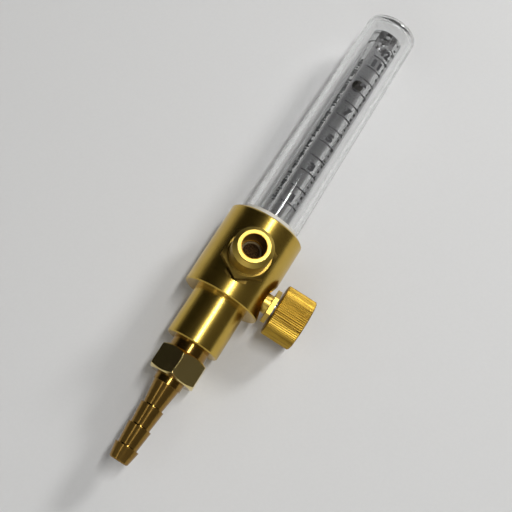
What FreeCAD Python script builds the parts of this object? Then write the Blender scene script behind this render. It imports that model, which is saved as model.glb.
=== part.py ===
import FreeCAD, Part
import math
import os
import Sketcher

# Medical gas flowmeter: a turned brass valve body with a side inlet, a hose
# nipple below, a needle valve with a knurled knob on the right, and a tapered
# metering tube with a ball float inside a clear cover.
#
# Frame: millimetres, +Z up along the metering tube, origin on the tube's axis
# at the mouth of the hose nipple. The inlet points to -Y and the knob to +X.

doc = FreeCAD.newDocument("Flowmeter")
sheet = doc.addObject("Spreadsheet::Sheet", "Sizes")

# Each size is a plain number. Radii are derived, diameters are driving.
SIZES = [
    # hose nipple, from its mouth upwards
    ("nipple_bore", "5.5"),
    ("nipple_inner_bore", "7.5"),
    ("tip_root", "7.8"),
    ("tip_crest", "9.9"),
    ("tip_length", "5.9"),
    ("barb_root", "8.0"),
    ("barb_crest", "9.6"),
    ("barb_pitch", "8.3"),
    ("barb_land", "0.5"),
    ("cone_crest", "10.5"),
    ("cone_length", "9.4"),
    ("shoulder_diameter", "11.4"),
    ("shoulder_length", "2.8"),
    ("nipple_hex", "18.0"),
    ("nipple_hex_length", "10.5"),
    ("nipple_hex_turn", "26.6"),
    ("collar_diameter", "14.7"),
    ("collar_length", "4.1"),
    ("nipple_thread", "13.16"),
    ("nipple_thread_length", "8.0"),
    ("hex_chamfer", "0.55"),
    ("mouth_chamfer", "0.4"),
    # valve body
    ("neck_diameter", "21.6"),
    ("neck_length", "20.1"),
    ("body_diameter", "31.4"),
    ("body_length", "34.4"),
    ("rim_chamfer", "0.7"),
    ("edge_break", "0.4"),
    ("thread_gap", "0.03"),
    ("washer_thickness", "1.0"),
    ("washer_gap", "0.2"),
    ("outlet_passage", "5.5"),
    ("outlet_overrun", "2.0"),
    # inlet
    ("inlet_rise", "16.7"),
    ("inlet_flat", "15.0"),
    ("inlet_flat_diameter", "21.2"),
    ("inlet_hex", "18.0"),
    ("inlet_hex_length", "3.5"),
    ("inlet_hex_turn", "30.0"),
    ("spigot_diameter", "15.2"),
    ("spigot_length", "10.6"),
    ("lip_diameter", "12.0"),
    ("lip_length", "1.0"),
    ("lip_cone", "1.3"),
    ("inlet_bore", "9.0"),
    ("inlet_bore_depth", "9.1"),
    ("filter_pocket", "8.0"),
    ("filter_pocket_depth", "2.4"),
    ("inlet_thread", "13.16"),
    ("inlet_thread_length", "5.5"),
    ("inlet_passage", "5.0"),
    ("filter_thickness", "1.5"),
    ("filter_gap", "0.1"),
    ("clip_wire", "0.8"),
    ("jet_passage", "4.0"),
    # needle valve, distances measured outwards from the tube's axis
    ("valve_rise", "8.7"),
    ("valve_flat", "13.9"),
    ("valve_flat_diameter", "15.6"),
    ("chamber_diameter", "8.0"),
    ("chamber_start", "5.0"),
    ("chamber_end", "9.2"),
    ("seat_diameter", "5.1"),
    ("seat_hole", "2.4"),
    ("seat_thickness", "1.2"),
    ("gland_thread", "9.0"),
    ("gland_neck", "8.0"),
    ("gland_neck_length", "2.8"),
    ("gland_hex", "12.0"),
    ("gland_hex_length", "1.8"),
    ("gland_hex_turn", "8.0"),
    ("gland_seal_thickness", "0.6"),
    ("spindle_diameter", "6.0"),
    ("spindle_gap", "0.05"),
    ("stem_diameter", "3.2"),
    ("stem_shoulder", "10.2"),
    ("needle_tip", "1.0"),
    ("needle_tip_reach", "3.4"),
    ("needle_length", "3.0"),
    ("ring_groove_start", "11.4"),
    ("ring_groove_width", "1.2"),
    ("ring_groove_depth", "0.8"),
    ("ring_gap", "0.03"),
    # control knob
    ("knob_gap", "0.7"),
    ("knob_diameter", "21.2"),
    ("knob_length", "12.5"),
    ("knob_chamfer", "0.5"),
    ("knob_bore_depth", "8.3"),
    ("knurl_count", "80"),
    ("knurl_depth", "0.28"),
    ("knurl_flat", "0.1"),
    ("spindle_end_gap", "0.3"),
    ("screw_diameter", "3.0"),
    ("screw_position", "5.0"),
    ("screw_recess", "0.8"),
    ("screw_gap", "0.05"),
    ("screw_socket", "1.5"),
    ("screw_socket_depth", "1.8"),
    # clear cover and its seal
    ("cover_boss", "21.0"),
    ("cover_boss_length", "10.2"),
    ("cover_socket_depth", "8.5"),
    ("cover_foot_diameter", "23.5"),
    ("cover_top_diameter", "21.5"),
    ("cover_foot_bore", "18.6"),
    ("cover_top_bore", "17.7"),
    ("cover_headroom", "3.8"),
    ("cover_end", "2.2"),
    ("cover_round", "2.6"),
    ("cover_inner_round", "1.6"),
    ("seal_width", "1.65"),
    ("seal_thickness", "2.2"),
    ("seal_gap", "0.05"),
    # metering tube, its seats and the float
    ("tube_diameter", "13.0"),
    ("tube_length", "109.7"),
    ("tube_socket_depth", "6.0"),
    ("tube_gap", "0.05"),
    ("tube_foot_bore", "5.9"),
    ("tube_foot_length", "15.5"),
    ("taper_foot", "5.0"),
    ("taper_top", "7.0"),
    ("tube_top_bore", "8.0"),
    ("tube_top_depth", "5.0"),
    ("tube_edge", "0.5"),
    ("insert_gap", "0.05"),
    ("float_seat_hole", "2.0"),
    ("float_seat_mouth", "3.2"),
    ("float_stop_hole", "2.4"),
    ("annulus_passage", "2.0"),
    ("annulus_offset", "7.95"),
    ("ball_diameter", "4.76"),
    ("ball_rise", "68.6"),
]


class Size:
    """A length with the expression that gives it and its present value."""

    def __init__(self, text, value):
        self.text = text
        self.value = float(value)

    def join(self, sign, other, value):
        other_text = other.text if isinstance(other, Size) else repr(float(other))
        return Size("(" + self.text + " " + sign + " " + other_text + ")", value)

    def __add__(self, other):
        return self.join("+", other, self.value + number(other))

    def __sub__(self, other):
        return self.join("-", other, self.value - number(other))

    def __mul__(self, other):
        return self.join("*", other, self.value * number(other))

    def __truediv__(self, other):
        return self.join("/", other, self.value / number(other))


def number(item):
    return item.value if isinstance(item, Size) else float(item)


class Table:
    """The sheet's sizes by name."""


S = Table()
for row, (alias, text) in enumerate(SIZES, start=1):
    sheet.set("A%d" % row, alias)
    sheet.set("B%d" % row, text)
    sheet.setAlias("B%d" % row, alias)
    setattr(S, alias, Size("Sizes." + alias, text))
doc.recompute()

ZERO = Size("0", 0)
HEX_CORNER = 2 / math.sqrt(3)


def origin_plane(body, role):
    for feature in body.Origin.OriginFeatures:
        if feature.Role == role:
            return feature
    raise ValueError("no plane " + role)


def new_body(label):
    body = doc.addObject("PartDesign::Body", label)
    body.Label = label
    return body


def bind(target, path, size):
    if size.text != "0":
        target.setExpression(path, size.text)


def place(item, x=ZERO, y=ZERO, z=ZERO, axis=None, turn=0.0):
    """Puts a body or a feature at bound coordinates, turned about one axis."""
    rotation = FreeCAD.Rotation()
    if axis is not None:
        rotation = FreeCAD.Rotation(FreeCAD.Vector(*axis), number(turn))
    base = FreeCAD.Vector(x.value, y.value, z.value)
    item.Placement = FreeCAD.Placement(base, rotation)
    bind(item, "Placement.Base.x", x)
    bind(item, "Placement.Base.y", y)
    bind(item, "Placement.Base.z", z)
    if isinstance(turn, Size):
        item.setExpression("Placement.Rotation.Angle", turn.text)


def pin_point(sketch, geometry, point, across, up):
    """Ties one end of a line to its two bound coordinates."""
    for kind, size, axis_line in (("DistanceX", across, -2), ("DistanceY", up, -1)):
        if size.text == "0":
            sketch.addConstraint(Sketcher.Constraint("PointOnObject", geometry, point, axis_line))
            continue
        if size.value < 0:
            ends = (geometry, point, -1, 1)
            size = size * -1
        else:
            ends = (-1, 1, geometry, point)
        index = sketch.addConstraint(Sketcher.Constraint(kind, *ends, size.value))
        sketch.setExpression("Constraints[%d]" % index, size.text)


def outline(body, name, points, role="XZ_Plane"):
    """A closed sketch of straight lines through bound points."""
    sketch = body.newObject("Sketcher::SketchObject", name)
    sketch.AttachmentSupport = [(origin_plane(body, role), "")]
    sketch.MapMode = "FlatFace"
    count = len(points)
    for i in range(count):
        start = FreeCAD.Vector(points[i][0].value, points[i][1].value, 0)
        after = points[(i + 1) % count]
        end = FreeCAD.Vector(after[0].value, after[1].value, 0)
        sketch.addGeometry(Part.LineSegment(start, end), False)
    for i in range(count):
        sketch.addConstraint(Sketcher.Constraint("Coincident", i, 2, (i + 1) % count, 1))
    for i in range(count):
        pin_point(sketch, i, 1, points[i][0], points[i][1])
    sketch.Visibility = False
    return sketch


def turned(body, name, points):
    """Adds a solid of revolution about the body's own Z axis."""
    sketch = outline(body, name + "Profile", points)
    feature = body.newObject("PartDesign::Revolution", name)
    feature.Profile = sketch
    feature.ReferenceAxis = (sketch, ["V_Axis"])
    feature.Angle = 360
    body.Tip = feature
    doc.recompute()
    return feature


def turned_cut(body, name, points):
    """Cuts a solid of revolution about the body's own Z axis."""
    sketch = outline(body, name + "Profile", points)
    feature = body.newObject("PartDesign::Groove", name)
    feature.Profile = sketch
    feature.ReferenceAxis = (sketch, ["V_Axis"])
    feature.Angle = 360
    body.Tip = feature
    doc.recompute()
    return feature


def drill(body, name, diameter, length, axis=None, turn=0.0, x=ZERO, y=ZERO, z=ZERO):
    """Cuts a round hole whose start and length are bound."""
    feature = body.newObject("PartDesign::SubtractiveCylinder", name)
    bind(feature, "Radius", diameter / 2)
    bind(feature, "Height", length)
    place(feature, x, y, z, axis, turn)
    body.Tip = feature
    doc.recompute()
    return feature


def hexagon(body, name, flats, length, z, turn):
    """Adds a hexagon of a given width across flats."""
    feature = body.newObject("PartDesign::AdditivePrism", name)
    feature.Polygon = 6
    bind(feature, "Circumradius", flats / 2 * HEX_CORNER)
    bind(feature, "Height", length)
    place(feature, z=z, axis=(0, 0, 1), turn=turn)
    body.Tip = feature
    doc.recompute()
    return feature


def hexagon_chamfers(body, name, flats, chamfer, foot, top):
    """Turns the corners of a hexagon down to a cone at each end."""
    reach = flats / 2 * HEX_CORNER
    beyond = reach + chamfer
    drop = (beyond - flats / 2 + chamfer) * math.tan(math.radians(30))
    lower = [
        (flats / 2 - chamfer, foot),
        (beyond, foot),
        (beyond, foot + drop),
    ]
    upper = [
        (flats / 2 - chamfer, top),
        (beyond, top - drop),
        (beyond, top),
    ]
    turned_cut(body, name + "Lower", lower)
    turned_cut(body, name + "Upper", upper)


# Heights along the tube's axis.
tip_crest_height = S.tip_length
barb_two_height = tip_crest_height + S.barb_pitch
barb_three_height = barb_two_height + S.barb_pitch
cone_crest_height = barb_three_height + S.cone_length
nipple_hex_foot = cone_crest_height + S.shoulder_length
nipple_hex_top = nipple_hex_foot + S.nipple_hex_length
neck_foot = nipple_hex_top + S.collar_length
nipple_top = neck_foot + S.nipple_thread_length
body_foot = neck_foot + S.neck_length
body_top = body_foot + S.body_length
valve_height = body_foot + S.valve_rise
inlet_height = body_foot + S.inlet_rise
cover_socket_floor = body_top - S.cover_socket_depth
tube_socket_floor = cover_socket_floor - S.tube_socket_depth
tube_foot = tube_socket_floor + S.washer_thickness
tube_top = tube_foot + S.tube_length
cover_foot = body_top + S.seal_thickness
cover_ceiling = tube_top + S.cover_headroom
cover_top = cover_ceiling + S.cover_end

# Distances along the inlet, outwards from the tube's axis.
inlet_hex_front = S.inlet_flat + S.inlet_hex_length
spigot_front = inlet_hex_front + S.spigot_length
lip_back = spigot_front + S.lip_cone
inlet_mouth = lip_back + S.lip_length
inlet_nose = S.inlet_flat - S.inlet_thread_length
inlet_hole_floor = inlet_nose - S.washer_thickness
inlet_bore_end = inlet_mouth - S.inlet_bore_depth
inlet_bore_floor = inlet_bore_end - S.filter_pocket_depth

# Distances along the needle valve, outwards from the tube's axis.
seat_back = S.chamber_start - S.seat_thickness
gland_nose = S.chamber_end + S.gland_seal_thickness
gland_hex_back = S.valve_flat + S.gland_neck_length
gland_front = gland_hex_back + S.gland_hex_length
knob_back = gland_front + S.knob_gap
knob_front = knob_back + S.knob_length
knob_bore_floor = knob_back + S.knob_bore_depth
spindle_end = knob_bore_floor - S.spindle_end_gap


# Hose nipple: a tip cone, two barbs and a long cone, a hexagon and a thread.
hose_nipple = new_body("hose_nipple")
tip_face = S.tip_root / 2 - S.mouth_chamfer
turned(hose_nipple, "NippleTurned", [
    (S.nipple_bore / 2, ZERO),
    (tip_face, ZERO),
    (S.tip_root / 2, S.mouth_chamfer),
    (S.tip_crest / 2, tip_crest_height),
    (S.barb_root / 2, tip_crest_height),
    (S.barb_root / 2, tip_crest_height + S.barb_land),
    (S.barb_crest / 2, barb_two_height),
    (S.barb_root / 2, barb_two_height),
    (S.barb_root / 2, barb_two_height + S.barb_land),
    (S.barb_crest / 2, barb_three_height),
    (S.barb_root / 2, barb_three_height),
    (S.barb_root / 2, barb_three_height + S.barb_land),
    (S.cone_crest / 2, cone_crest_height),
    (S.shoulder_diameter / 2, cone_crest_height),
    (S.shoulder_diameter / 2, nipple_hex_foot),
    (S.collar_diameter / 2, nipple_hex_foot),
    (S.collar_diameter / 2, neck_foot),
    (S.nipple_thread / 2, neck_foot),
    (S.nipple_thread / 2, nipple_top - S.edge_break),
    (S.nipple_thread / 2 - S.edge_break, nipple_top),
    (S.nipple_inner_bore / 2, nipple_top),
    (S.nipple_inner_bore / 2, nipple_hex_foot),
    (S.nipple_bore / 2, nipple_hex_foot),
])
hexagon(hose_nipple, "NippleHexagon", S.nipple_hex, S.nipple_hex_length, nipple_hex_foot, S.nipple_hex_turn)
hexagon_chamfers(
    hose_nipple, "NippleHexagonChamfer", S.nipple_hex, S.hex_chamfer, nipple_hex_foot, nipple_hex_top
)
drill(hose_nipple, "NippleBore", S.nipple_inner_bore, nipple_top - nipple_hex_foot, z=nipple_hex_foot)
place(hose_nipple)

# Flat washer between the nipple's nose and the floor of its thread.
nipple_seal = new_body("nipple_seal")
washer_outer = S.nipple_thread / 2 - S.washer_gap
washer_inner = S.nipple_inner_bore / 2 + S.washer_gap
turned(nipple_seal, "NippleWasher", [
    (washer_inner, ZERO),
    (washer_outer, ZERO),
    (washer_outer, S.washer_thickness),
    (washer_inner, S.washer_thickness),
])
place(nipple_seal, z=nipple_top)

# Valve body: a wide cylinder on a narrower neck, both turned.
valve_body = new_body("valve_body")
neck_radius = S.neck_diameter / 2
body_radius = S.body_diameter / 2
turned(valve_body, "BodyTurned", [
    (ZERO, neck_foot),
    (neck_radius - S.edge_break, neck_foot),
    (neck_radius, neck_foot + S.edge_break),
    (neck_radius, body_foot),
    (body_radius - S.edge_break, body_foot),
    (body_radius, body_foot + S.edge_break),
    (body_radius, body_top - S.rim_chamfer),
    (body_radius - S.rim_chamfer, body_top),
    (ZERO, body_top),
])

# Thread for the nipple, and the outlet passage above it.
nipple_hole_floor = nipple_top + S.washer_thickness
turned_cut(valve_body, "OutletPassage", [
    (ZERO, neck_foot),
    (S.nipple_thread / 2 + S.thread_gap, neck_foot),
    (S.nipple_thread / 2 + S.thread_gap, nipple_hole_floor),
    (S.outlet_passage / 2, nipple_hole_floor),
    (S.outlet_passage / 2, valve_height + S.outlet_overrun),
    (ZERO, valve_height + S.outlet_overrun),
])

# Socket for the cover, the tube's socket in its floor and the jet below.
turned_cut(valve_body, "CoverSocket", [
    (ZERO, inlet_height),
    (S.jet_passage / 2, inlet_height),
    (S.jet_passage / 2, tube_socket_floor),
    (S.tube_diameter / 2 + S.tube_gap, tube_socket_floor),
    (S.tube_diameter / 2 + S.tube_gap, cover_socket_floor),
    (S.cover_boss / 2 + S.thread_gap, cover_socket_floor),
    (S.cover_boss / 2 + S.thread_gap, body_top),
    (ZERO, body_top),
])

# Inlet side: spot face, thread and passage to the jet.
drill(
    valve_body, "InletFlat", S.inlet_flat_diameter, body_radius,
    axis=(1, 0, 0), turn=90, y=ZERO - S.inlet_flat, z=inlet_height,
)
drill(
    valve_body, "InletThread", S.inlet_thread + S.thread_gap * 2, body_radius,
    axis=(1, 0, 0), turn=90, y=ZERO - inlet_hole_floor, z=inlet_height,
)
drill(
    valve_body, "InletPassage", S.inlet_passage, body_radius,
    axis=(1, 0, 0), turn=90, y=S.inlet_passage / 2, z=inlet_height,
)

# Valve side: spot face, gland thread, chamber, seat recess and seat passage.
drill(
    valve_body, "ValveFlat", S.valve_flat_diameter, body_radius,
    axis=(0, 1, 0), turn=90, x=S.valve_flat, z=valve_height,
)
drill(
    valve_body, "GlandThread", S.gland_thread + S.thread_gap * 2, body_radius,
    axis=(0, 1, 0), turn=90, x=S.chamber_end, z=valve_height,
)
drill(
    valve_body, "ValveChamber", S.chamber_diameter, body_radius,
    axis=(0, 1, 0), turn=90, x=S.chamber_start, z=valve_height,
)
drill(
    valve_body, "SeatRecess", S.seat_diameter + S.thread_gap * 2, S.seat_thickness * 2,
    axis=(0, 1, 0), turn=90, x=seat_back, z=valve_height,
)
drill(
    valve_body, "SeatPassage", S.seat_hole, S.chamber_start,
    axis=(0, 1, 0), turn=90, z=valve_height,
)

# Passage from the space round the metering tube down to the valve chamber.
drill(
    valve_body, "AnnulusPassage", S.annulus_passage, body_top - valve_height,
    x=S.annulus_offset, z=valve_height,
)
place(valve_body)

# Inlet: hexagon, smooth spigot, cone, lip and a deep bore with a filter.
inlet_port = new_body("inlet_port")
spigot_radius = S.spigot_diameter / 2
lip_radius = S.lip_diameter / 2
turned(inlet_port, "InletTurned", [
    (S.inlet_passage / 2, inlet_nose),
    (S.inlet_thread / 2 - S.edge_break, inlet_nose),
    (S.inlet_thread / 2, inlet_nose + S.edge_break),
    (S.inlet_thread / 2, S.inlet_flat),
    (spigot_radius, S.inlet_flat),
    (spigot_radius, spigot_front),
    (lip_radius, lip_back),
    (lip_radius, inlet_mouth),
    (S.inlet_bore / 2, inlet_mouth),
    (S.inlet_bore / 2, inlet_bore_end),
    (S.filter_pocket / 2, inlet_bore_end),
    (S.filter_pocket / 2, inlet_bore_floor),
    (S.inlet_passage / 2, inlet_bore_floor),
])
hexagon(inlet_port, "InletHexagon", S.inlet_hex, S.inlet_hex_length, S.inlet_flat, S.inlet_hex_turn)
turned_cut(inlet_port, "InletHexagonChamfer", [
    (S.inlet_hex / 2 - S.hex_chamfer, inlet_hex_front),
    (S.inlet_hex / 2 * HEX_CORNER + S.hex_chamfer, inlet_hex_front - S.hex_chamfer * 2),
    (S.inlet_hex / 2 * HEX_CORNER + S.hex_chamfer, inlet_hex_front),
])
drill(inlet_port, "InletHexagonPassage", S.inlet_passage, inlet_bore_floor)
place(inlet_port, z=inlet_height, axis=(1, 0, 0), turn=90)

# Flat washer between the inlet's nose and the floor of its thread.
inlet_seal = new_body("inlet_seal")
turned(inlet_seal, "InletWasher", [
    (S.inlet_passage / 2 + S.washer_gap, inlet_hole_floor),
    (S.inlet_thread / 2 - S.washer_gap, inlet_hole_floor),
    (S.inlet_thread / 2 - S.washer_gap, inlet_nose),
    (S.inlet_passage / 2 + S.washer_gap, inlet_nose),
])
place(inlet_seal, z=inlet_height, axis=(1, 0, 0), turn=90)

# Sintered filter disc in the pocket behind the inlet's bore, with a wire clip.
inlet_filter = new_body("inlet_filter")
filter_radius = S.filter_pocket / 2 - S.filter_gap
filter_front = inlet_bore_floor + S.filter_thickness
turned(inlet_filter, "FilterDisc", [
    (ZERO, inlet_bore_floor),
    (filter_radius, inlet_bore_floor),
    (filter_radius, filter_front),
    (ZERO, filter_front),
])
place(inlet_filter, z=inlet_height, axis=(1, 0, 0), turn=90)

filter_clip = doc.addObject("Part::Torus", "filter_clip")
filter_clip.Label = "filter_clip"
bind(filter_clip, "Radius1", S.filter_pocket / 2 - S.filter_gap / 2 - S.clip_wire / 2)
bind(filter_clip, "Radius2", S.clip_wire / 2)
place(
    filter_clip, y=ZERO - (filter_front + S.clip_wire / 2), z=inlet_height,
    axis=(1, 0, 0), turn=90,
)

# Valve seat: a small hard ring in the recess at the chamber's end.
valve_seat = new_body("valve_seat")
turned(valve_seat, "SeatRing", [
    (S.seat_hole / 2, seat_back),
    (S.seat_diameter / 2, seat_back),
    (S.seat_diameter / 2, S.chamber_start),
    (S.seat_hole / 2, S.chamber_start),
])
place(valve_seat, z=valve_height, axis=(0, 1, 0), turn=90)

# Gland: thread, short neck and hexagon, bored for the spindle.
valve_gland = new_body("valve_gland")
gland_bore_radius = S.spindle_diameter / 2 + S.spindle_gap
turned(valve_gland, "GlandTurned", [
    (gland_bore_radius, gland_nose),
    (S.gland_thread / 2 - S.edge_break, gland_nose),
    (S.gland_thread / 2, gland_nose + S.edge_break),
    (S.gland_thread / 2, S.valve_flat - S.edge_break),
    (S.gland_neck / 2, S.valve_flat),
    (S.gland_neck / 2, gland_front),
    (gland_bore_radius, gland_front),
])
hexagon(valve_gland, "GlandHexagon", S.gland_hex, S.gland_hex_length, gland_hex_back, S.gland_hex_turn)
drill(valve_gland, "GlandBore", S.spindle_diameter + S.spindle_gap * 2, gland_front)
place(valve_gland, z=valve_height, axis=(0, 1, 0), turn=90)

# Sealing washer between the gland's nose and the chamber's step.
gland_seal = new_body("gland_seal")
turned(gland_seal, "GlandWasher", [
    (S.spindle_diameter / 2 + S.washer_gap, S.chamber_end),
    (S.gland_thread / 2 - S.washer_gap / 2, S.chamber_end),
    (S.gland_thread / 2 - S.washer_gap / 2, gland_nose),
    (S.spindle_diameter / 2 + S.washer_gap, gland_nose),
])
place(gland_seal, z=valve_height, axis=(0, 1, 0), turn=90)

# Spindle: needle, thin stem, threaded shank with a ring groove, drive end.
valve_spindle = new_body("valve_spindle")
spindle_radius = S.spindle_diameter / 2
needle_root = S.needle_tip_reach + S.needle_length
groove_end = S.ring_groove_start + S.ring_groove_width
groove_radius = spindle_radius - S.ring_groove_depth
turned(valve_spindle, "SpindleTurned", [
    (ZERO, S.needle_tip_reach),
    (S.needle_tip / 2, S.needle_tip_reach),
    (S.stem_diameter / 2, needle_root),
    (S.stem_diameter / 2, S.stem_shoulder),
    (spindle_radius, S.stem_shoulder),
    (spindle_radius, S.ring_groove_start),
    (groove_radius, S.ring_groove_start),
    (groove_radius, groove_end),
    (spindle_radius, groove_end),
    (spindle_radius, spindle_end - S.edge_break),
    (spindle_radius - S.edge_break, spindle_end),
    (ZERO, spindle_end),
])
place(valve_spindle, z=valve_height, axis=(0, 1, 0), turn=90)

# Sealing ring in the spindle's groove, running in the gland's bore.
spindle_seal = doc.addObject("Part::Torus", "spindle_seal")
spindle_seal.Label = "spindle_seal"
ring_outer = gland_bore_radius - S.ring_gap
ring_inner = groove_radius + S.ring_gap
bind(spindle_seal, "Radius1", (ring_outer + ring_inner) / 2)
bind(spindle_seal, "Radius2", (ring_outer - ring_inner) / 2)
place(
    spindle_seal, x=S.ring_groove_start + S.ring_groove_width / 2, z=valve_height,
    axis=(0, 1, 0), turn=90,
)

# Control knob: a drum with a fine straight knurl and chamfered ends.
control_knob = new_body("control_knob")
knob_radius = S.knob_diameter / 2
knob_bore_radius = spindle_radius + S.spindle_gap
turned(control_knob, "KnobTurned", [
    (knob_bore_radius, knob_back),
    (knob_radius - S.knob_chamfer, knob_back),
    (knob_radius, knob_back + S.knob_chamfer),
    (knob_radius, knob_front - S.knob_chamfer),
    (knob_radius - S.knob_chamfer, knob_front),
    (ZERO, knob_front),
    (ZERO, knob_bore_floor),
    (knob_bore_radius, knob_bore_floor),
])
knurl_root = knob_radius - S.knurl_depth
knurl_pitch = S.knob_diameter * math.pi / S.knurl_count
groove_width = knurl_pitch - S.knurl_flat
knurl_sketch = outline(control_knob, "KnurlGrooveProfile", [
    (knurl_root, ZERO),
    (knob_radius + S.knurl_depth, groove_width),
    (knob_radius + S.knurl_depth, groove_width * -1),
], role="XY_Plane")
knurl_sketch.AttachmentOffset = FreeCAD.Placement(
    FreeCAD.Vector(0, 0, knob_front.value), FreeCAD.Rotation()
)
knurl_sketch.setExpression("AttachmentOffset.Base.z", knob_front.text)
knurl = control_knob.newObject("PartDesign::Pocket", "KnurlGroove")
knurl.Profile = knurl_sketch
knurl.Type = 0
bind(knurl, "Length", S.knob_length)
control_knob.Tip = knurl
doc.recompute()
knurl_pattern = control_knob.newObject("PartDesign::PolarPattern", "Knurl")
knurl_pattern.Originals = [knurl]
knurl_pattern.Axis = (knurl_sketch, ["N_Axis"])
knurl_pattern.Angle = 360
bind(knurl_pattern, "Occurrences", S.knurl_count)
control_knob.Tip = knurl_pattern
doc.recompute()
drill(
    control_knob, "ScrewHole", S.screw_diameter + S.screw_gap * 2, knob_radius + S.knob_chamfer,
    axis=(1, 0, 0), turn=-90, z=knob_back + S.screw_position,
)
place(control_knob, z=valve_height, axis=(0, 1, 0), turn=90)

# Set screw that holds the knob on the spindle, with a hexagon socket.
knob_set_screw = new_body("knob_set_screw")
screw_foot = spindle_radius + S.spindle_gap
screw_top = knob_radius - S.screw_recess
turned(knob_set_screw, "ScrewTurned", [
    (ZERO, screw_foot),
    (S.screw_diameter / 2 - S.edge_break, screw_foot),
    (S.screw_diameter / 2, screw_foot + S.edge_break),
    (S.screw_diameter / 2, screw_top),
    (ZERO, screw_top),
])
socket = knob_set_screw.newObject("PartDesign::SubtractivePrism", "ScrewSocket")
socket.Polygon = 6
bind(socket, "Circumradius", S.screw_socket / 2 * HEX_CORNER)
bind(socket, "Height", S.screw_socket_depth * 2)
place(socket, z=screw_top - S.screw_socket_depth)
knob_set_screw.Tip = socket
doc.recompute()
place(
    knob_set_screw, x=knob_back + S.screw_position, z=valve_height,
    axis=(1, 0, 0), turn=-90,
)

# Clear cover: a long cup that narrows slightly to its closed end.
outer_cover = new_body("outer_cover")
boss_foot = cover_foot - S.cover_boss_length + S.seal_thickness
turned(outer_cover, "CoverTurned", [
    (S.cover_foot_bore / 2, boss_foot),
    (S.cover_boss / 2, boss_foot),
    (S.cover_boss / 2, cover_foot),
    (S.cover_foot_diameter / 2, cover_foot),
    (S.cover_top_diameter / 2, cover_top),
    (ZERO, cover_top),
    (ZERO, cover_ceiling),
    (S.cover_top_bore / 2, cover_ceiling),
])


def round_edge(body, name, radius, edge_radius, height):
    """Rounds the one circular edge of a given radius at a given height."""
    shape = body.Tip.Shape
    names = []
    for i, edge in enumerate(shape.Edges, start=1):
        if not hasattr(edge.Curve, "Radius"):
            continue
        close = abs(edge.Curve.Radius - edge_radius.value) < 0.01
        level = abs(edge.BoundBox.Center.z - height.value) < 0.01
        if close and level:
            names.append("Edge%d" % i)
    tip = body.Tip
    feature = body.newObject("PartDesign::Fillet", name)
    feature.Base = (tip, names)
    bind(feature, "Radius", radius)
    body.Tip = feature
    doc.recompute()
    return feature


round_edge(outer_cover, "CoverRound", S.cover_round, S.cover_top_diameter / 2, cover_top)
round_edge(outer_cover, "CoverInnerRound", S.cover_inner_round, S.cover_top_bore / 2, cover_ceiling)
place(outer_cover)

# Pale sealing ring between the cover's shoulder and the body's rim.
cover_seal = new_body("cover_seal")
seal_radius = S.cover_boss / 2 + S.seal_gap + S.seal_width
turned(cover_seal, "SealRing", [
    (S.cover_boss / 2 + S.seal_gap, ZERO),
    (seal_radius, ZERO),
    (seal_radius, S.seal_thickness),
    (S.cover_boss / 2 + S.seal_gap, S.seal_thickness),
])
place(cover_seal, z=body_top)

# Metering tube: straight outside, tapered inside, with an insert each end.
metering_tube = new_body("metering_tube")
taper_start = tube_foot + S.tube_foot_length
stop_foot = tube_top - S.tube_top_depth
tube_radius = S.tube_diameter / 2
turned(metering_tube, "TubeTurned", [
    (S.tube_foot_bore / 2, tube_foot),
    (tube_radius - S.tube_edge, tube_foot),
    (tube_radius, tube_foot + S.tube_edge),
    (tube_radius, tube_top - S.tube_edge),
    (tube_radius - S.tube_edge, tube_top),
    (S.tube_top_bore / 2, tube_top),
    (S.tube_top_bore / 2, stop_foot),
    (S.taper_top / 2, stop_foot),
    (S.taper_foot / 2, taper_start),
    (S.tube_foot_bore / 2, taper_start),
])
place(metering_tube)

# Washer under the metering tube.
tube_seal = new_body("tube_seal")
turned(tube_seal, "TubeWasher", [
    (S.tube_foot_bore / 2, ZERO),
    (tube_radius - S.washer_gap, ZERO),
    (tube_radius - S.washer_gap, S.washer_thickness),
    (S.tube_foot_bore / 2, S.washer_thickness),
])
place(tube_seal, z=tube_socket_floor)

# Lower insert, on which the ball sits when no gas flows.
float_seat = new_body("float_seat")
seat_insert_radius = S.tube_foot_bore / 2 - S.insert_gap
mouth_depth = S.float_seat_mouth / 2
turned(float_seat, "FloatSeatTurned", [
    (S.float_seat_hole / 2, tube_foot),
    (seat_insert_radius, tube_foot),
    (seat_insert_radius, taper_start),
    (S.float_seat_mouth / 2, taper_start),
    (S.float_seat_hole / 2, taper_start - mouth_depth),
])
place(float_seat)

# Upper insert, which stops the ball at the top of the scale.
float_stop = new_body("float_stop")
stop_radius = S.tube_top_bore / 2 - S.insert_gap
turned(float_stop, "FloatStopTurned", [
    (S.float_stop_hole / 2, stop_foot),
    (stop_radius, stop_foot),
    (stop_radius, tube_top),
    (S.float_stop_hole / 2, tube_top),
])
place(float_stop)

# Ball float.
float_ball = doc.addObject("Part::Sphere", "float_ball")
float_ball.Label = "float_ball"
bind(float_ball, "Radius", S.ball_diameter / 2)
place(float_ball, z=taper_start + S.ball_rise)

PIECES = [
    valve_body,
    hose_nipple,
    nipple_seal,
    inlet_port,
    inlet_seal,
    inlet_filter,
    filter_clip,
    valve_seat,
    valve_gland,
    gland_seal,
    valve_spindle,
    spindle_seal,
    control_knob,
    knob_set_screw,
    outer_cover,
    cover_seal,
    metering_tube,
    tube_seal,
    float_seat,
    float_stop,
    float_ball,
]

doc.recompute()
for item in doc.Objects:
    if "Invalid" in item.State or "Error" in item.State:
        raise RuntimeError("failed object: " + item.Label)
for piece in PIECES:
    if piece.Shape.isNull() or not piece.Shape.isValid():
        raise RuntimeError("bad shape: " + piece.Label)
    if len(piece.Shape.Solids) != 1:
        raise RuntimeError("not one solid: " + piece.Label)

os.makedirs("parts", exist_ok=True)
for piece in PIECES:
    piece.Shape.exportStep("parts/" + piece.Label + ".step")
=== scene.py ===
import math

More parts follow.
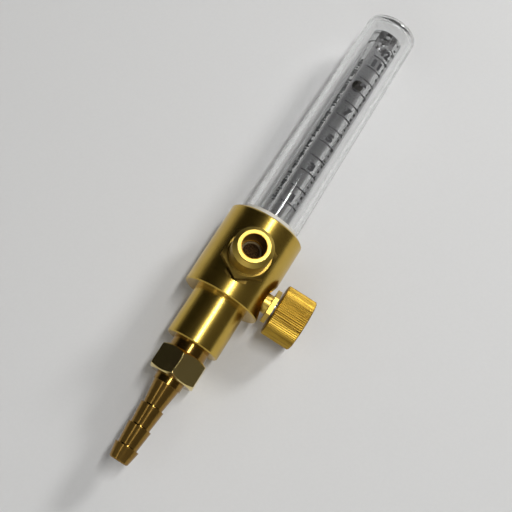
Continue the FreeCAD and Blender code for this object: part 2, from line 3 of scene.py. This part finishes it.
import bmesh
import bpy
from mathutils import Matrix, Vector


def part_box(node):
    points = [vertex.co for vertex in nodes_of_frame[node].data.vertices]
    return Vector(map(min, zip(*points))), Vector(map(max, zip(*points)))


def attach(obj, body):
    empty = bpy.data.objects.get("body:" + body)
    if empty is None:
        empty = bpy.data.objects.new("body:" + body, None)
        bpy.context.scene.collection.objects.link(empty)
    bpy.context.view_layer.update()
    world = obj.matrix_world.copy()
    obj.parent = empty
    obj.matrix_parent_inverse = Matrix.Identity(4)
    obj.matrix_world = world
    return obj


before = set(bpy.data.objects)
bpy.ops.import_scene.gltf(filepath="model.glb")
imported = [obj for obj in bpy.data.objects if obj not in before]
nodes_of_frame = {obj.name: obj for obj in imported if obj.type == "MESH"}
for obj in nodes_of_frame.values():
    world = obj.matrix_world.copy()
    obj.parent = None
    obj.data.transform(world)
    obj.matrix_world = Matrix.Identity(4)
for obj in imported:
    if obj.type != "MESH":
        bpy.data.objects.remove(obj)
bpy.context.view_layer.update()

scene = bpy.context.scene
scene.view_settings.view_transform = "Standard"

MM = 0.001

# Places taken from the frame
inlet_low, inlet_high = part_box("inlet_port")
INLET_HEIGHT = (inlet_low.z + inlet_high.z) / 2
TUBE_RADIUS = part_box("metering_tube")[1].x
BODY_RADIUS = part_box("valve_body")[1].y
KNOB_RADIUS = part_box("control_knob")[1].y
KNOB_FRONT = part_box("control_knob")[1].x

# Camera: in front of the inlet and below it, looking up along the meter, and
# rolled so that the metering tube points to the upper right.
TILT = math.radians(15.0)
ROLL = math.radians(32.5)
CAMERA_PLACE = Vector((2.3, -335.0, 2.0)) * MM
FOCAL_LENGTH = 63.3
SENSOR_WIDTH = 36.0
NEAREST_SEEN = 10 * MM


def build_camera():
    forward = Vector((0.0, math.cos(TILT), math.sin(TILT)))
    upward = Vector((0.0, -math.sin(TILT), math.cos(TILT)))
    sideways = Vector((1.0, 0.0, 0.0))
    right = sideways * math.cos(ROLL) + upward * math.sin(ROLL)
    top = upward * math.cos(ROLL) - sideways * math.sin(ROLL)
    data = bpy.data.cameras.new("camera")
    data.lens = FOCAL_LENGTH
    data.sensor_width = SENSOR_WIDTH
    data.clip_start = NEAREST_SEEN
    camera = bpy.data.objects.new("camera", data)
    scene.collection.objects.link(camera)
    turn = Matrix((right, top, -forward)).transposed().to_4x4()
    camera.matrix_world = Matrix.Translation(CAMERA_PLACE) @ turn
    return camera


scene.camera = build_camera()


# Materials: noise has most of its values in the first of these ranges, and
# the second one parts patches from what is between them.
NOISE_RANGE = (0.3, 0.7)
PATCH_RANGE = (0.35, 0.7)


class Shader:
    """A material's node tree with short calls for the nodes used here."""

    def __init__(self, name):
        self.mat = bpy.data.materials.new(name)
        self.mat.use_nodes = True
        self.nodes = self.mat.node_tree.nodes
        self.links = self.mat.node_tree.links
        self.nodes.clear()
        self.out = self.nodes.new("ShaderNodeOutputMaterial")
        self.coords = self.nodes.new("ShaderNodeTexCoord").outputs["Object"]

    def link(self, source, target):
        self.links.new(source, target)

    def set(self, socket, item):
        if isinstance(item, bpy.types.NodeSocket):
            self.link(item, socket)
        else:
            socket.default_value = item

    def show(self, shader):
        """Sends a shader to the material's surface and gives the material."""
        self.link(shader.outputs[0], self.out.inputs[0])
        return self.mat

    def math(self, operation, first, second=None, third=None):
        node = self.nodes.new("ShaderNodeMath")
        node.operation = operation
        for socket, item in zip(node.inputs, (first, second, third)):
            if item is not None:
                self.set(socket, item)
        return node.outputs[0]

    def noise(self, scale, detail=2.0, stretch=(1, 1, 1), shift=(0, 0, 0), roughness=0.5):
        """Cloudy noise with this many marks to the metre."""
        mapping = self.nodes.new("ShaderNodeMapping")
        self.link(self.coords, mapping.inputs["Vector"])
        mapping.inputs["Scale"].default_value = stretch
        mapping.inputs["Location"].default_value = shift
        node = self.nodes.new("ShaderNodeTexNoise")
        self.link(mapping.outputs[0], node.inputs["Vector"])
        node.inputs["Scale"].default_value = scale
        node.inputs["Detail"].default_value = detail
        node.inputs["Roughness"].default_value = roughness
        return node.outputs["Fac"]

    def spread(self, value, low, high, new_low=0.0, new_high=1.0):
        node = self.nodes.new("ShaderNodeMapRange")
        self.set(node.inputs["Value"], value)
        node.inputs["From Min"].default_value = low
        node.inputs["From Max"].default_value = high
        node.inputs["To Min"].default_value = new_low
        node.inputs["To Max"].default_value = new_high
        return node.outputs[0]

    def blend(self, factor, first, second):
        node = self.nodes.new("ShaderNodeMix")
        node.data_type = "RGBA"
        self.set(node.inputs[0], factor)
        for socket, item in ((node.inputs[6], first), (node.inputs[7], second)):
            self.set(socket, item if isinstance(item, bpy.types.NodeSocket) else (*item, 1.0))
        return node.outputs[2]

    def mix_shaders(self, factor, first, second):
        node = self.nodes.new("ShaderNodeMixShader")
        self.link(factor, node.inputs[0])
        self.link(first.outputs[0], node.inputs[1])
        self.link(second.outputs[0], node.inputs[2])
        return node

    def patchy(self, grain, base, worn):
        """One colour in patches on another."""
        return self.blend(self.spread(self.noise(grain, detail=3.0), *PATCH_RANGE), base, worn)

    def bump(self, height, strength, distance, normal=None):
        node = self.nodes.new("ShaderNodeBump")
        node.inputs["Strength"].default_value = strength
        node.inputs["Distance"].default_value = distance
        self.link(height, node.inputs["Height"])
        if normal is not None:
            self.link(normal, node.inputs["Normal"])
        return node.outputs[0]

    def soft_edges(self, radius, samples):
        """The normal as if every edge were rounded to this radius."""
        node = self.nodes.new("ShaderNodeBevel")
        node.samples = samples
        node.inputs["Radius"].default_value = radius
        return node.outputs[0]

    def place(self):
        node = self.nodes.new("ShaderNodeSeparateXYZ")
        self.link(self.coords, node.inputs[0])
        return node.outputs

    def beyond(self, radius, axis):
        """1 outside a radius about the inlet's axis (y) or the meter's (z), 0 inside it."""
        place = self.place()
        side = place["X"]
        other = place["Y"] if axis == "z" else self.math("SUBTRACT", place["Z"], INLET_HEIGHT)
        squares = self.math("MULTIPLY_ADD", other, other, self.math("MULTIPLY", side, side))
        return self.math("GREATER_THAN", squares, radius * radius)

    def within(self, radius, axis):
        return self.math("SUBTRACT", 1.0, self.beyond(radius, axis))

    def in_front(self, depth):
        """1 where the surface is further than this in front of the meter's axis."""
        return self.math("LESS_THAN", self.place()["Y"], -depth)

    def principled(self, **items):
        node = self.nodes.new("ShaderNodeBsdfPrincipled")
        for name, item in items.items():
            self.set(node.inputs[name.replace("_", " ")], item)
        return node


# Brass: turned pieces have fine rings about their own axis, and a faint
# mottle of tarnish and handling in colour and gloss.
BRASS = (0.62, 0.43, 0.088)
BRASS_DEEP = (0.50, 0.32, 0.055)
BRASS_GLOSS = (0.22, 0.26)
ROUND_AXIS = 0.02
RING_STRETCH = {
    "x": (1, ROUND_AXIS, ROUND_AXIS),
    "y": (ROUND_AXIS, 1, ROUND_AXIS),
    "z": (ROUND_AXIS, ROUND_AXIS, 1),
}
TOOL_MARKS = 5200
COARSE_MARKS = 900
COARSE_SHARE = 0.6
RING_STRENGTH = 0.09
RING_HEIGHT = 0.01 * MM
SPECKS = 900
SPECK_STRENGTH = 0.05
SPECK_HEIGHT = 0.03 * MM
MOTTLE = 170
MOTTLE_SHARE = 0.35
GLOSS_SHARE = 0.5
EDGE_RADIUS = 0.18 * MM
EDGE_SAMPLES = 4


def brass(name, axis, base=BRASS, deep=BRASS_DEEP, roughness=BRASS_GLOSS, zones=()):
    """zones: pairs of a function that gives a zone's mask, and the zone's colour."""
    s = Shader(name)
    rings = RING_STRETCH[axis]
    tool_marks = s.noise(TOOL_MARKS, detail=3.0, stretch=rings)
    coarse_marks = s.noise(COARSE_MARKS, stretch=rings, shift=(3, 1, 2))
    mottle = s.noise(MOTTLE, detail=4.0, shift=(5, 2, 7), roughness=0.6)
    tarnish = s.math("MULTIPLY", s.spread(mottle, *PATCH_RANGE), MOTTLE_SHARE)
    colour = s.blend(tarnish, base, deep)
    for mask, zone_colour in zones:
        colour = s.blend(mask(s), colour, zone_colour)
    gloss = s.math("MULTIPLY_ADD", mottle, GLOSS_SHARE, s.math("MULTIPLY", tool_marks, 1 - GLOSS_SHARE))
    rough = s.spread(gloss, *NOISE_RANGE, *roughness)
    ridges = s.math("MULTIPLY_ADD", coarse_marks, COARSE_SHARE, tool_marks)
    normal = s.bump(ridges, RING_STRENGTH, RING_HEIGHT, s.soft_edges(EDGE_RADIUS, EDGE_SAMPLES))
    normal = s.bump(s.noise(SPECKS), SPECK_STRENGTH, SPECK_HEIGHT, normal)
    return s.show(s.principled(Base_Color=colour, Metallic=1.0, Roughness=rough, Normal=normal))


# Zones of the brass pieces. The nipple's hexagon is painted paler, as painted light on its faces. The
# inlet's hexagon, its bore and the inner edge of its mouth are painted darker, as painted shade, and so is
# the flat that the inlet is screwed against. The knurl holds streaks of grime.
NIPPLE_HEX_RADIUS = 8.3 * MM
INLET_HEX_RADIUS = 7.7 * MM
INLET_MOUTH_RADIUS = 4.8 * MM
INLET_FLAT_RADIUS = 10.65 * MM
INLET_FLAT_DEPTH = 14.96 * MM
GRIME_STREAKS = 1500
ALONG_KNURL = 0.03
GRIME_RANGE = (0.34, 0.56)


# Painted light: outside this radius the nipple's hexagon is painted paler than any other brass.
def nipple_bar(s):
    return s.beyond(NIPPLE_HEX_RADIUS, "z")


# Painted shade: outside this radius the inlet's hexagon is painted dark brown.
def inlet_bar(s):
    return s.beyond(INLET_HEX_RADIUS, "y")


# Painted shade: inside this radius the inlet's bore and the inner edge of its mouth are painted dark brown.
def inlet_mouth(s):
    return s.within(INLET_MOUTH_RADIUS, "y")


# Painted shade: the flat round the inlet, in front of the body, is painted almost black.
def inlet_flat(s):
    return s.math("MULTIPLY", s.within(INLET_FLAT_RADIUS, "y"), s.in_front(INLET_FLAT_DEPTH))


def knurl_grime(s):
    streaks = s.noise(GRIME_STREAKS, detail=3.0, stretch=(ALONG_KNURL, 1, 1), shift=(1, 4, 2), roughness=0.7)
    return s.spread(streaks, *GRIME_RANGE, 1.0, 0.0)


# Clear acrylic bends what is behind it. Lamps shine through it, with a grey
# shadow where the surface is steep to their light.
ACRYLIC_IOR = 1.49
HAZE = 420
HAZE_RANGE = (0.35, 0.75)
HAZE_SPREAD = 0.015
MILK_POWER = 3.0
RIM_POWER = 0.75
RIM_SHADE = (0.1, 0.1, 0.1)


def clear_plastic(name, tint, shade, milk, roughness=0.0):
    """shade: the light that passes to what is behind. milk: how pale the steep edges look."""
    s = Shader(name)
    haze = s.spread(s.noise(HAZE, detail=3.0), *HAZE_RANGE, roughness, roughness + HAZE_SPREAD)
    edge = s.nodes.new("ShaderNodeLayerWeight")
    milky = s.math("MULTIPLY", s.math("POWER", edge.outputs["Facing"], MILK_POWER), milk)
    seen = s.principled(Base_Color=(*tint, 1.0), Roughness=haze, IOR=ACRYLIC_IOR)
    s.link(s.math("SUBTRACT", 1.0, milky), seen.inputs["Transmission Weight"])
    lit = s.nodes.new("ShaderNodeBsdfTransparent")
    steep = s.math("POWER", edge.outputs["Facing"], RIM_POWER)
    s.link(s.blend(steep, (shade, shade, shade), RIM_SHADE), lit.inputs["Color"])
    path = s.nodes.new("ShaderNodeLightPath")
    return s.show(s.mix_shaders(path.outputs["Is Shadow Ray"], seen, lit))


PLASTIC_PATCHES = 700
PLASTIC_GLOSS_MARKS = 1750
PLASTIC_GLOSSIER = 0.06
PLASTIC_DULLER = 0.08
PLASTIC_PITS = 2800
PIT_STRENGTH = 0.2
PIT_DEPTH = 0.02 * MM


def moulded(name, base, worn, roughness):
    s = Shader(name)
    colour = s.patchy(PLASTIC_PATCHES, base, worn)
    marks = s.noise(PLASTIC_GLOSS_MARKS)
    rough = s.spread(marks, *NOISE_RANGE, roughness - PLASTIC_GLOSSIER, roughness + PLASTIC_DULLER)
    normal = s.bump(s.noise(PLASTIC_PITS), PIT_STRENGTH, PIT_DEPTH)
    return s.show(s.principled(Base_Color=colour, Roughness=rough, Normal=normal))


STEEL_PATCHES = 500
STEEL_GLOSS_MARKS = 1500
STEEL_SCRATCHES = 3000
SCRATCH_STRENGTH = 0.1
SCRATCH_DEPTH = 0.01 * MM


def bright_steel(name, base, worn, roughness, uneven=0.08):
    s = Shader(name)
    colour = s.patchy(STEEL_PATCHES, base, worn)
    rough = s.spread(s.noise(STEEL_GLOSS_MARKS), *NOISE_RANGE, roughness, roughness + uneven)
    normal = s.bump(s.noise(STEEL_SCRATCHES), SCRATCH_STRENGTH, SCRATCH_DEPTH)
    return s.show(s.principled(Base_Color=colour, Metallic=1.0, Roughness=rough, Normal=normal))


BRONZE_GRAIN = (0.26, 0.14, 0.05)
BRONZE_PORE = (0.05, 0.028, 0.012)
GRAINS = 3600
PORE_RANGE = (0.1, 0.6)
PORE_ROUGHNESS = (0.4, 0.7)
GRAIN_STRENGTH = 0.8
GRAIN_HEIGHT = 0.1 * MM


def sintered(name):
    """Round bronze grains with dark pores between them."""
    s = Shader(name)
    grains = s.nodes.new("ShaderNodeTexVoronoi")
    s.link(s.coords, grains.inputs["Vector"])
    grains.inputs["Scale"].default_value = GRAINS
    pore = s.spread(grains.outputs["Distance"], *PORE_RANGE)
    colour = s.blend(pore, BRONZE_GRAIN, BRONZE_PORE)
    normal = s.bump(s.math("SUBTRACT", 1.0, pore), GRAIN_STRENGTH, GRAIN_HEIGHT)
    rough = s.spread(pore, 0.0, 1.0, *PORE_ROUGHNESS)
    return s.show(s.principled(Base_Color=colour, Metallic=1.0, Roughness=rough, Normal=normal))


FINISH = {
    # The body's brass has painted shade on the flat round the inlet.
    "valve_body": brass("body_brass", "z", zones=[(inlet_flat, (0.07, 0.045, 0.01))]),
    # The nipple is painted much darker than the body's brass, as painted shade on its barbs, and its hexagon
    # paler, as painted light.
    "hose_nipple": brass(
        "nipple_brass", "z",
        base=(0.33, 0.195, 0.045),
        deep=(0.22, 0.12, 0.022),
        roughness=(0.16, 0.21),
        zones=[(nipple_bar, (0.85, 0.69, 0.28))],
    ),
    # The inlet's brass is painted a little darker than the body's, as painted shade on its spigot, and its
    # hexagon, bore and mouth darker still.
    "inlet_port": brass(
        "inlet_brass", "y",
        base=(0.52, 0.37, 0.08),
        deep=(0.42, 0.27, 0.05),
        roughness=(0.28, 0.33),
        zones=[(inlet_bar, (0.22, 0.145, 0.03)), (inlet_mouth, (0.2, 0.1, 0.015))],
    ),
    "valve_gland": brass("gland_brass", "x", roughness=(0.3, 0.34)),
    "control_knob": brass(
        "knob_brass", "x",
        base=(0.46, 0.295, 0.042),
        deep=(0.38, 0.23, 0.03),
        roughness=(0.34, 0.42),
        zones=[(knurl_grime, (0.2, 0.11, 0.015))],
    ),
    "float_seat": brass("seat_brass", "z", roughness=(0.15, 0.25)),
    "outer_cover": clear_plastic("clear_cover", (0.95, 0.955, 0.955), shade=0.93, milk=0.22),
    "metering_tube": clear_plastic("clear_tube", (0.75, 0.75, 0.755), shade=0.87, milk=0.0),
    "float_stop": clear_plastic("clear_stop", (0.86, 0.86, 0.86), shade=0.9, milk=0.1, roughness=0.16),
    "cover_seal": moulded("pale_seal", (0.80, 0.80, 0.77), (0.70, 0.70, 0.66), 0.45),
    "valve_seat": moulded("seat_plastic", (0.82, 0.80, 0.74), (0.74, 0.72, 0.66), 0.4),
    "spindle_seal": moulded("ring_rubber", (0.022, 0.022, 0.022), (0.04, 0.04, 0.04), 0.5),
    "inlet_filter": sintered("bronze_filter"),
    "filter_clip": bright_steel("clip_steel", (0.28, 0.22, 0.13), (0.2, 0.15, 0.09), 0.3),
    "valve_spindle": bright_steel("spindle_steel", (0.62, 0.62, 0.61), (0.5, 0.5, 0.49), 0.2),
    "knob_set_screw": bright_steel("screw_steel", (0.3, 0.3, 0.3), (0.2, 0.2, 0.2), 0.3),
    "float_ball": bright_steel("ball_steel", (0.2, 0.19, 0.17), (0.14, 0.13, 0.12), 0.16, uneven=0.03),
}
for place in ("nipple", "inlet", "gland", "tube"):
    FINISH[place + "_seal"] = moulded(place + "_washer", (0.78, 0.77, 0.72), (0.68, 0.67, 0.62), 0.5)
for node_name, finish in FINISH.items():
    for slot in nodes_of_frame[node_name].material_slots:
        slot.material = finish


# Print on the metering tube: a scale with plain numbers and two columns of
# small marks, as thin raised ink. It is made flat and then bent round the
# tube. Angles are counted from the front of the tube towards the knob.
INK_GAP = 0.012 * MM
INK_THICKNESS = 0.02 * MM
BEND_STEP = 0.25 * MM
SAME_POINT = 0.001 * MM
INK = moulded("printed_ink", (0.008, 0.008, 0.01), (0.02, 0.02, 0.023), 0.6)

TICKS = 12
FIRST_TICK = 114.3 * MM
TICK_PITCH = 7.75 * MM
PITCH_LOSS = 0.1 * MM
TICK_WIDTH = 0.6 * MM
TICK_START = -10.0
TICK_END = 60.0

NUMBER_HEIGHT = 3.1 * MM
NUMBER_PLACE = 17.0
NUMBER_RISE = 2.5 * MM
NUMBER_STRETCH = 1.2
NUMBER_WEIGHT = 0.33 * MM
TOP_NUMBER_HEIGHT = 3.4 * MM
TOP_NUMBER_PLACE = 23.0
TOP_NUMBER_RISE = 3.2 * MM
TOP_NUMBER_STRETCH = 0.9
TOP_NUMBER_WEIGHT = 0.32 * MM
FONT_SIZE_OF_HEIGHT = 1.37


def girth(degrees):
    return math.radians(degrees) * TUBE_RADIUS


def flat_bar(bm, left, right, low, high):
    """A closed bar, x along the tube's girth, y up the tube, z outwards."""
    made = bmesh.ops.create_cube(bm, size=1.0)["verts"]
    for vert in made:
        vert.co.x = right if vert.co.x > 0 else left
        vert.co.y = high if vert.co.y > 0 else low
        vert.co.z = INK_THICKNESS if vert.co.z > 0 else 0.0


def flat_number(bm, number, height, degrees, middle, stretch, weight):
    """A plain number, centred at this angle and height."""
    curve = bpy.data.curves.new("number", "FONT")
    curve.body = str(number)
    curve.align_x = "CENTER"
    curve.align_y = "CENTER"
    curve.size = height * FONT_SIZE_OF_HEIGHT
    curve.offset = weight
    curve.extrude = INK_THICKNESS / 2
    curve.resolution_u = 2
    holder = bpy.data.objects.new("number", curve)
    mesh = bpy.data.meshes.new_from_object(holder)
    for vert in mesh.vertices:
        vert.co.x = vert.co.x * stretch + girth(degrees)
        vert.co.y += middle
        vert.co.z += INK_THICKNESS / 2
    bm.from_mesh(mesh)
    bpy.data.objects.remove(holder)
    bpy.data.curves.remove(curve)
    bpy.data.meshes.remove(mesh)


def wrapped_ink(name, bm):
    """Cuts the flat print into narrow strips and bends it round the tube."""
    bmesh.ops.remove_doubles(bm, verts=bm.verts, dist=SAME_POINT)
    steps = int(girth(90) / BEND_STEP)
    for step in range(-steps, steps + 1):
        bmesh.ops.bisect_plane(
            bm,
            geom=bm.verts[:] + bm.edges[:] + bm.faces[:],
            plane_co=(step * BEND_STEP, 0, 0),
            plane_no=(1, 0, 0),
        )
    for vert in bm.verts:
        radius = TUBE_RADIUS + INK_GAP + vert.co.z
        angle = vert.co.x / TUBE_RADIUS
        vert.co = (radius * math.sin(angle), -radius * math.cos(angle), vert.co.y)
    bmesh.ops.recalc_face_normals(bm, faces=bm.faces[:])
    mesh = bpy.data.meshes.new(name)
    bm.to_mesh(mesh)
    bm.free()
    piece = bpy.data.objects.new(name, mesh)
    scene.collection.objects.link(piece)
    piece.data.materials.append(INK)
    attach(piece, "body")


def tick_height(count):
    """The ticks come a little closer together towards the top."""
    return FIRST_TICK + TICK_PITCH * count - PITCH_LOSS * count * count


def build_scale():
    """Ticks all the way up, a number over every other one, and the last number larger."""
    bm = bmesh.new()
    for count in range(TICKS):
        tick = tick_height(count)
        flat_bar(bm, girth(TICK_START), girth(TICK_END), tick - TICK_WIDTH / 2, tick + TICK_WIDTH / 2)
        if count % 2 == 0:
            flat_number(
                bm, count + 1, NUMBER_HEIGHT, NUMBER_PLACE, tick + NUMBER_RISE,
                NUMBER_STRETCH, NUMBER_WEIGHT,
            )
    flat_number(
        bm, TICKS, TOP_NUMBER_HEIGHT, TOP_NUMBER_PLACE, tick_height(TICKS - 1) + TOP_NUMBER_RISE,
        TOP_NUMBER_STRETCH, TOP_NUMBER_WEIGHT,
    )
    wrapped_ink("tube_scale", bm)


# How uneven the small marks are in width, height and place, and how quickly
# each changes from mark to mark.
WIDTH_UNEVEN = 0.33
WIDTH_BEAT = 2.1
HEIGHT_UNEVEN = 0.28
HEIGHT_BEAT = 1.3
MARK_DRIFT = 0.14 * MM
DRIFT_BEAT = 3.7
MARKS_IN_GROUP = 11


def build_index_marks(name, degrees, low, high, pitch, half_width, half_height):
    """A column of small dashes of uneven size, with a wider gap after each group."""
    bm = bmesh.new()
    middle = low
    count = 0
    while middle < high:
        wide = half_width * (1.0 + WIDTH_UNEVEN * math.sin(count * WIDTH_BEAT))
        tall = half_height * (1.0 + HEIGHT_UNEVEN * math.sin(count * HEIGHT_BEAT))
        place = girth(degrees) + MARK_DRIFT * math.sin(count * DRIFT_BEAT)
        flat_bar(bm, place - wide, place + wide, middle - tall, middle + tall)
        count += 1
        middle += pitch * (2.0 if count % MARKS_IN_GROUP == 0 else 1.0)
    wrapped_ink(name, bm)


build_scale()
build_index_marks(
    "tube_index_marks", degrees=-37.0, low=113.0 * MM, high=184.0 * MM, pitch=1.3 * MM,
    half_width=0.75 * MM, half_height=0.42 * MM,
)
build_index_marks(
    "tube_side_marks", degrees=49.0, low=117.0 * MM, high=199.0 * MM, pitch=2.6 * MM,
    half_width=0.5 * MM, half_height=0.5 * MM,
)


# Stage: a pale sheet behind the meter, on which it lies in the photograph,
# and a pale floor below it. The sheet touches the back of the body and the
# rim of the knob. It is seen from the front alone and casts no shadow.
PAPER = (0.80, 0.80, 0.795)
PAPER_SPECK = (0.788, 0.788, 0.783)
PAPER_GRAIN = 900
PAPER_ROUGHNESS = 0.7
PAPER_SHINE = 0.15
LEAN = math.asin((BODY_RADIUS - KNOB_RADIUS) / KNOB_FRONT)
SHEET_GAP = 0.05 * MM
SHEET_HALF = 1.5
FLOOR_HEIGHT = -0.62
FLOOR_HALF = 12.0


def paper(name):
    s = Shader(name)
    grain = s.spread(s.noise(PAPER_GRAIN), *NOISE_RANGE)
    colour = s.blend(grain, PAPER, PAPER_SPECK)
    matt = s.principled(Base_Color=colour, Roughness=PAPER_ROUGHNESS, Specular_IOR_Level=PAPER_SHINE)
    return s, matt


def floor_paper():
    s, matt = paper("floor_paper")
    return s.show(matt)


def sheet_paper():
    s, matt = paper("sheet_paper")
    path = s.nodes.new("ShaderNodeLightPath").outputs
    side = s.nodes.new("ShaderNodeNewGeometry").outputs
    seen = s.math("MAXIMUM", path["Is Camera Ray"], path["Is Transmission Ray"])
    seen = s.math("MAXIMUM", seen, path["Is Glossy Ray"])
    front = s.math("SUBTRACT", 1.0, side["Backfacing"])
    nothing = s.nodes.new("ShaderNodeBsdfTransparent")
    return s.show(s.mix_shaders(s.math("MULTIPLY", seen, front), nothing, matt))


def add_plane(name, centre, across, along, half, material):
    mesh = bpy.data.meshes.new(name)
    ends = ((-1, -1), (1, -1), (1, 1), (-1, 1))
    corners = [centre + across * a * half + along * b * half for a, b in ends]
    mesh.from_pydata([tuple(c) for c in corners], [], [(0, 1, 2, 3)])
    mesh.materials.append(material)
    obj = bpy.data.objects.new(name, mesh)
    scene.collection.objects.link(obj)


def build_stage():
    east = Vector((1, 0, 0))
    north = Vector((0, 1, 0))
    up = Vector((0, 0, 1))
    away = north * math.cos(LEAN) + east * math.sin(LEAN)
    across = east * math.cos(LEAN) - north * math.sin(LEAN)
    add_plane("back_sheet", away * (BODY_RADIUS + SHEET_GAP), across, up, SHEET_HALF, sheet_paper())
    add_plane("floor", up * FLOOR_HEIGHT, east, north, FLOOR_HALF, floor_paper())


build_stage()


# Light: a long strip in front draws the bright line down the brass, and a
# square lamp as strong stands high on the knob's side. Broad weak lamps are
# overhead and below, and weak strips low in front and on the left. All face
# the meter's axis near the inlet's height.
TARGET = Vector((0, 0, 90)) * MM
LAMP_DISTANCE = 1.2


def add_lamp(name, azimuth, elevation, width, height, power, distance=LAMP_DISTANCE):
    """Azimuth 0 is in front of the inlet, positive towards the knob."""
    a = math.radians(azimuth)
    e = math.radians(elevation)
    direction = Vector((math.sin(a) * math.cos(e), -math.cos(a) * math.cos(e), math.sin(e)))
    data = bpy.data.lights.new(name, "AREA")
    data.shape = "RECTANGLE"
    data.size = width
    data.size_y = height
    data.energy = power
    lamp = bpy.data.objects.new(name, data)
    lamp.location = TARGET + direction * distance
    lamp.rotation_mode = "QUATERNION"
    lamp.rotation_quaternion = direction.to_track_quat("Z", "Y")
    lamp.visible_camera = False
    scene.collection.objects.link(lamp)


add_lamp("key", azimuth=5, elevation=9, width=0.085, height=0.54, power=5.2)
add_lamp("key_low", azimuth=8, elevation=-15, width=0.08, height=0.3, power=0.14)
add_lamp("side", azimuth=25, elevation=49, width=0.22, height=0.22, power=5.2)
add_lamp("over", azimuth=8, elevation=68, width=0.5, height=0.4, power=1.6)
add_lamp("below", azimuth=5, elevation=-60, width=0.35, height=0.35, power=0.14, distance=0.55)
add_lamp("fill", azimuth=-36, elevation=-17, width=0.10, height=0.44, power=0.3)

# World: in front of the meter the room is dim and brownish, least dim towards
# the knob's side. Behind the sheet it is pale and white, dimmer overhead.
DARK_LEFT = 0.014
DARK_RIGHT = 0.075
PALE_BACK = 0.5
DARK_TOP = 0.22
ROOM_BROWN = (1.0, 0.91, 0.78, 1.0)
WHITE = (1.0, 1.0, 1.0, 1.0)
LEFT_TO_RIGHT = (-0.3, 0.4)
BACK_TO_TOP = (0.55, 0.9)
FRONT_TO_BACK = (-0.16, 0.32)


def build_world():
    world = bpy.data.worlds.new("world")
    world.use_nodes = True
    nodes = world.node_tree.nodes
    links = world.node_tree.links
    direction = nodes.new("ShaderNodeSeparateXYZ")
    links.new(nodes.new("ShaderNodeTexCoord").outputs["Generated"], direction.inputs[0])

    def ramp(axis, reach, first, second):
        """Goes softly from the first level to the second over this reach of an axis."""
        node = nodes.new("ShaderNodeMapRange")
        node.interpolation_type = "SMOOTHSTEP"
        links.new(direction.outputs[axis], node.inputs["Value"])
        node.inputs["From Min"].default_value, node.inputs["From Max"].default_value = reach
        for socket, item in (("To Min", first), ("To Max", second)):
            if isinstance(item, bpy.types.NodeSocket):
                links.new(item, node.inputs[socket])
            else:
                node.inputs[socket].default_value = item
        return node.outputs[0]

    front = ramp("X", LEFT_TO_RIGHT, DARK_LEFT, DARK_RIGHT)
    back = ramp("Z", BACK_TO_TOP, PALE_BACK, DARK_TOP)
    colour = nodes.new("ShaderNodeMix")
    colour.data_type = "RGBA"
    links.new(ramp("Y", FRONT_TO_BACK, 0.0, 1.0), colour.inputs[0])
    colour.inputs[6].default_value = ROOM_BROWN
    colour.inputs[7].default_value = WHITE
    links.new(colour.outputs[2], nodes["Background"].inputs["Color"])
    links.new(ramp("Y", FRONT_TO_BACK, front, back), nodes["Background"].inputs["Strength"])
    scene.world = world


build_world()
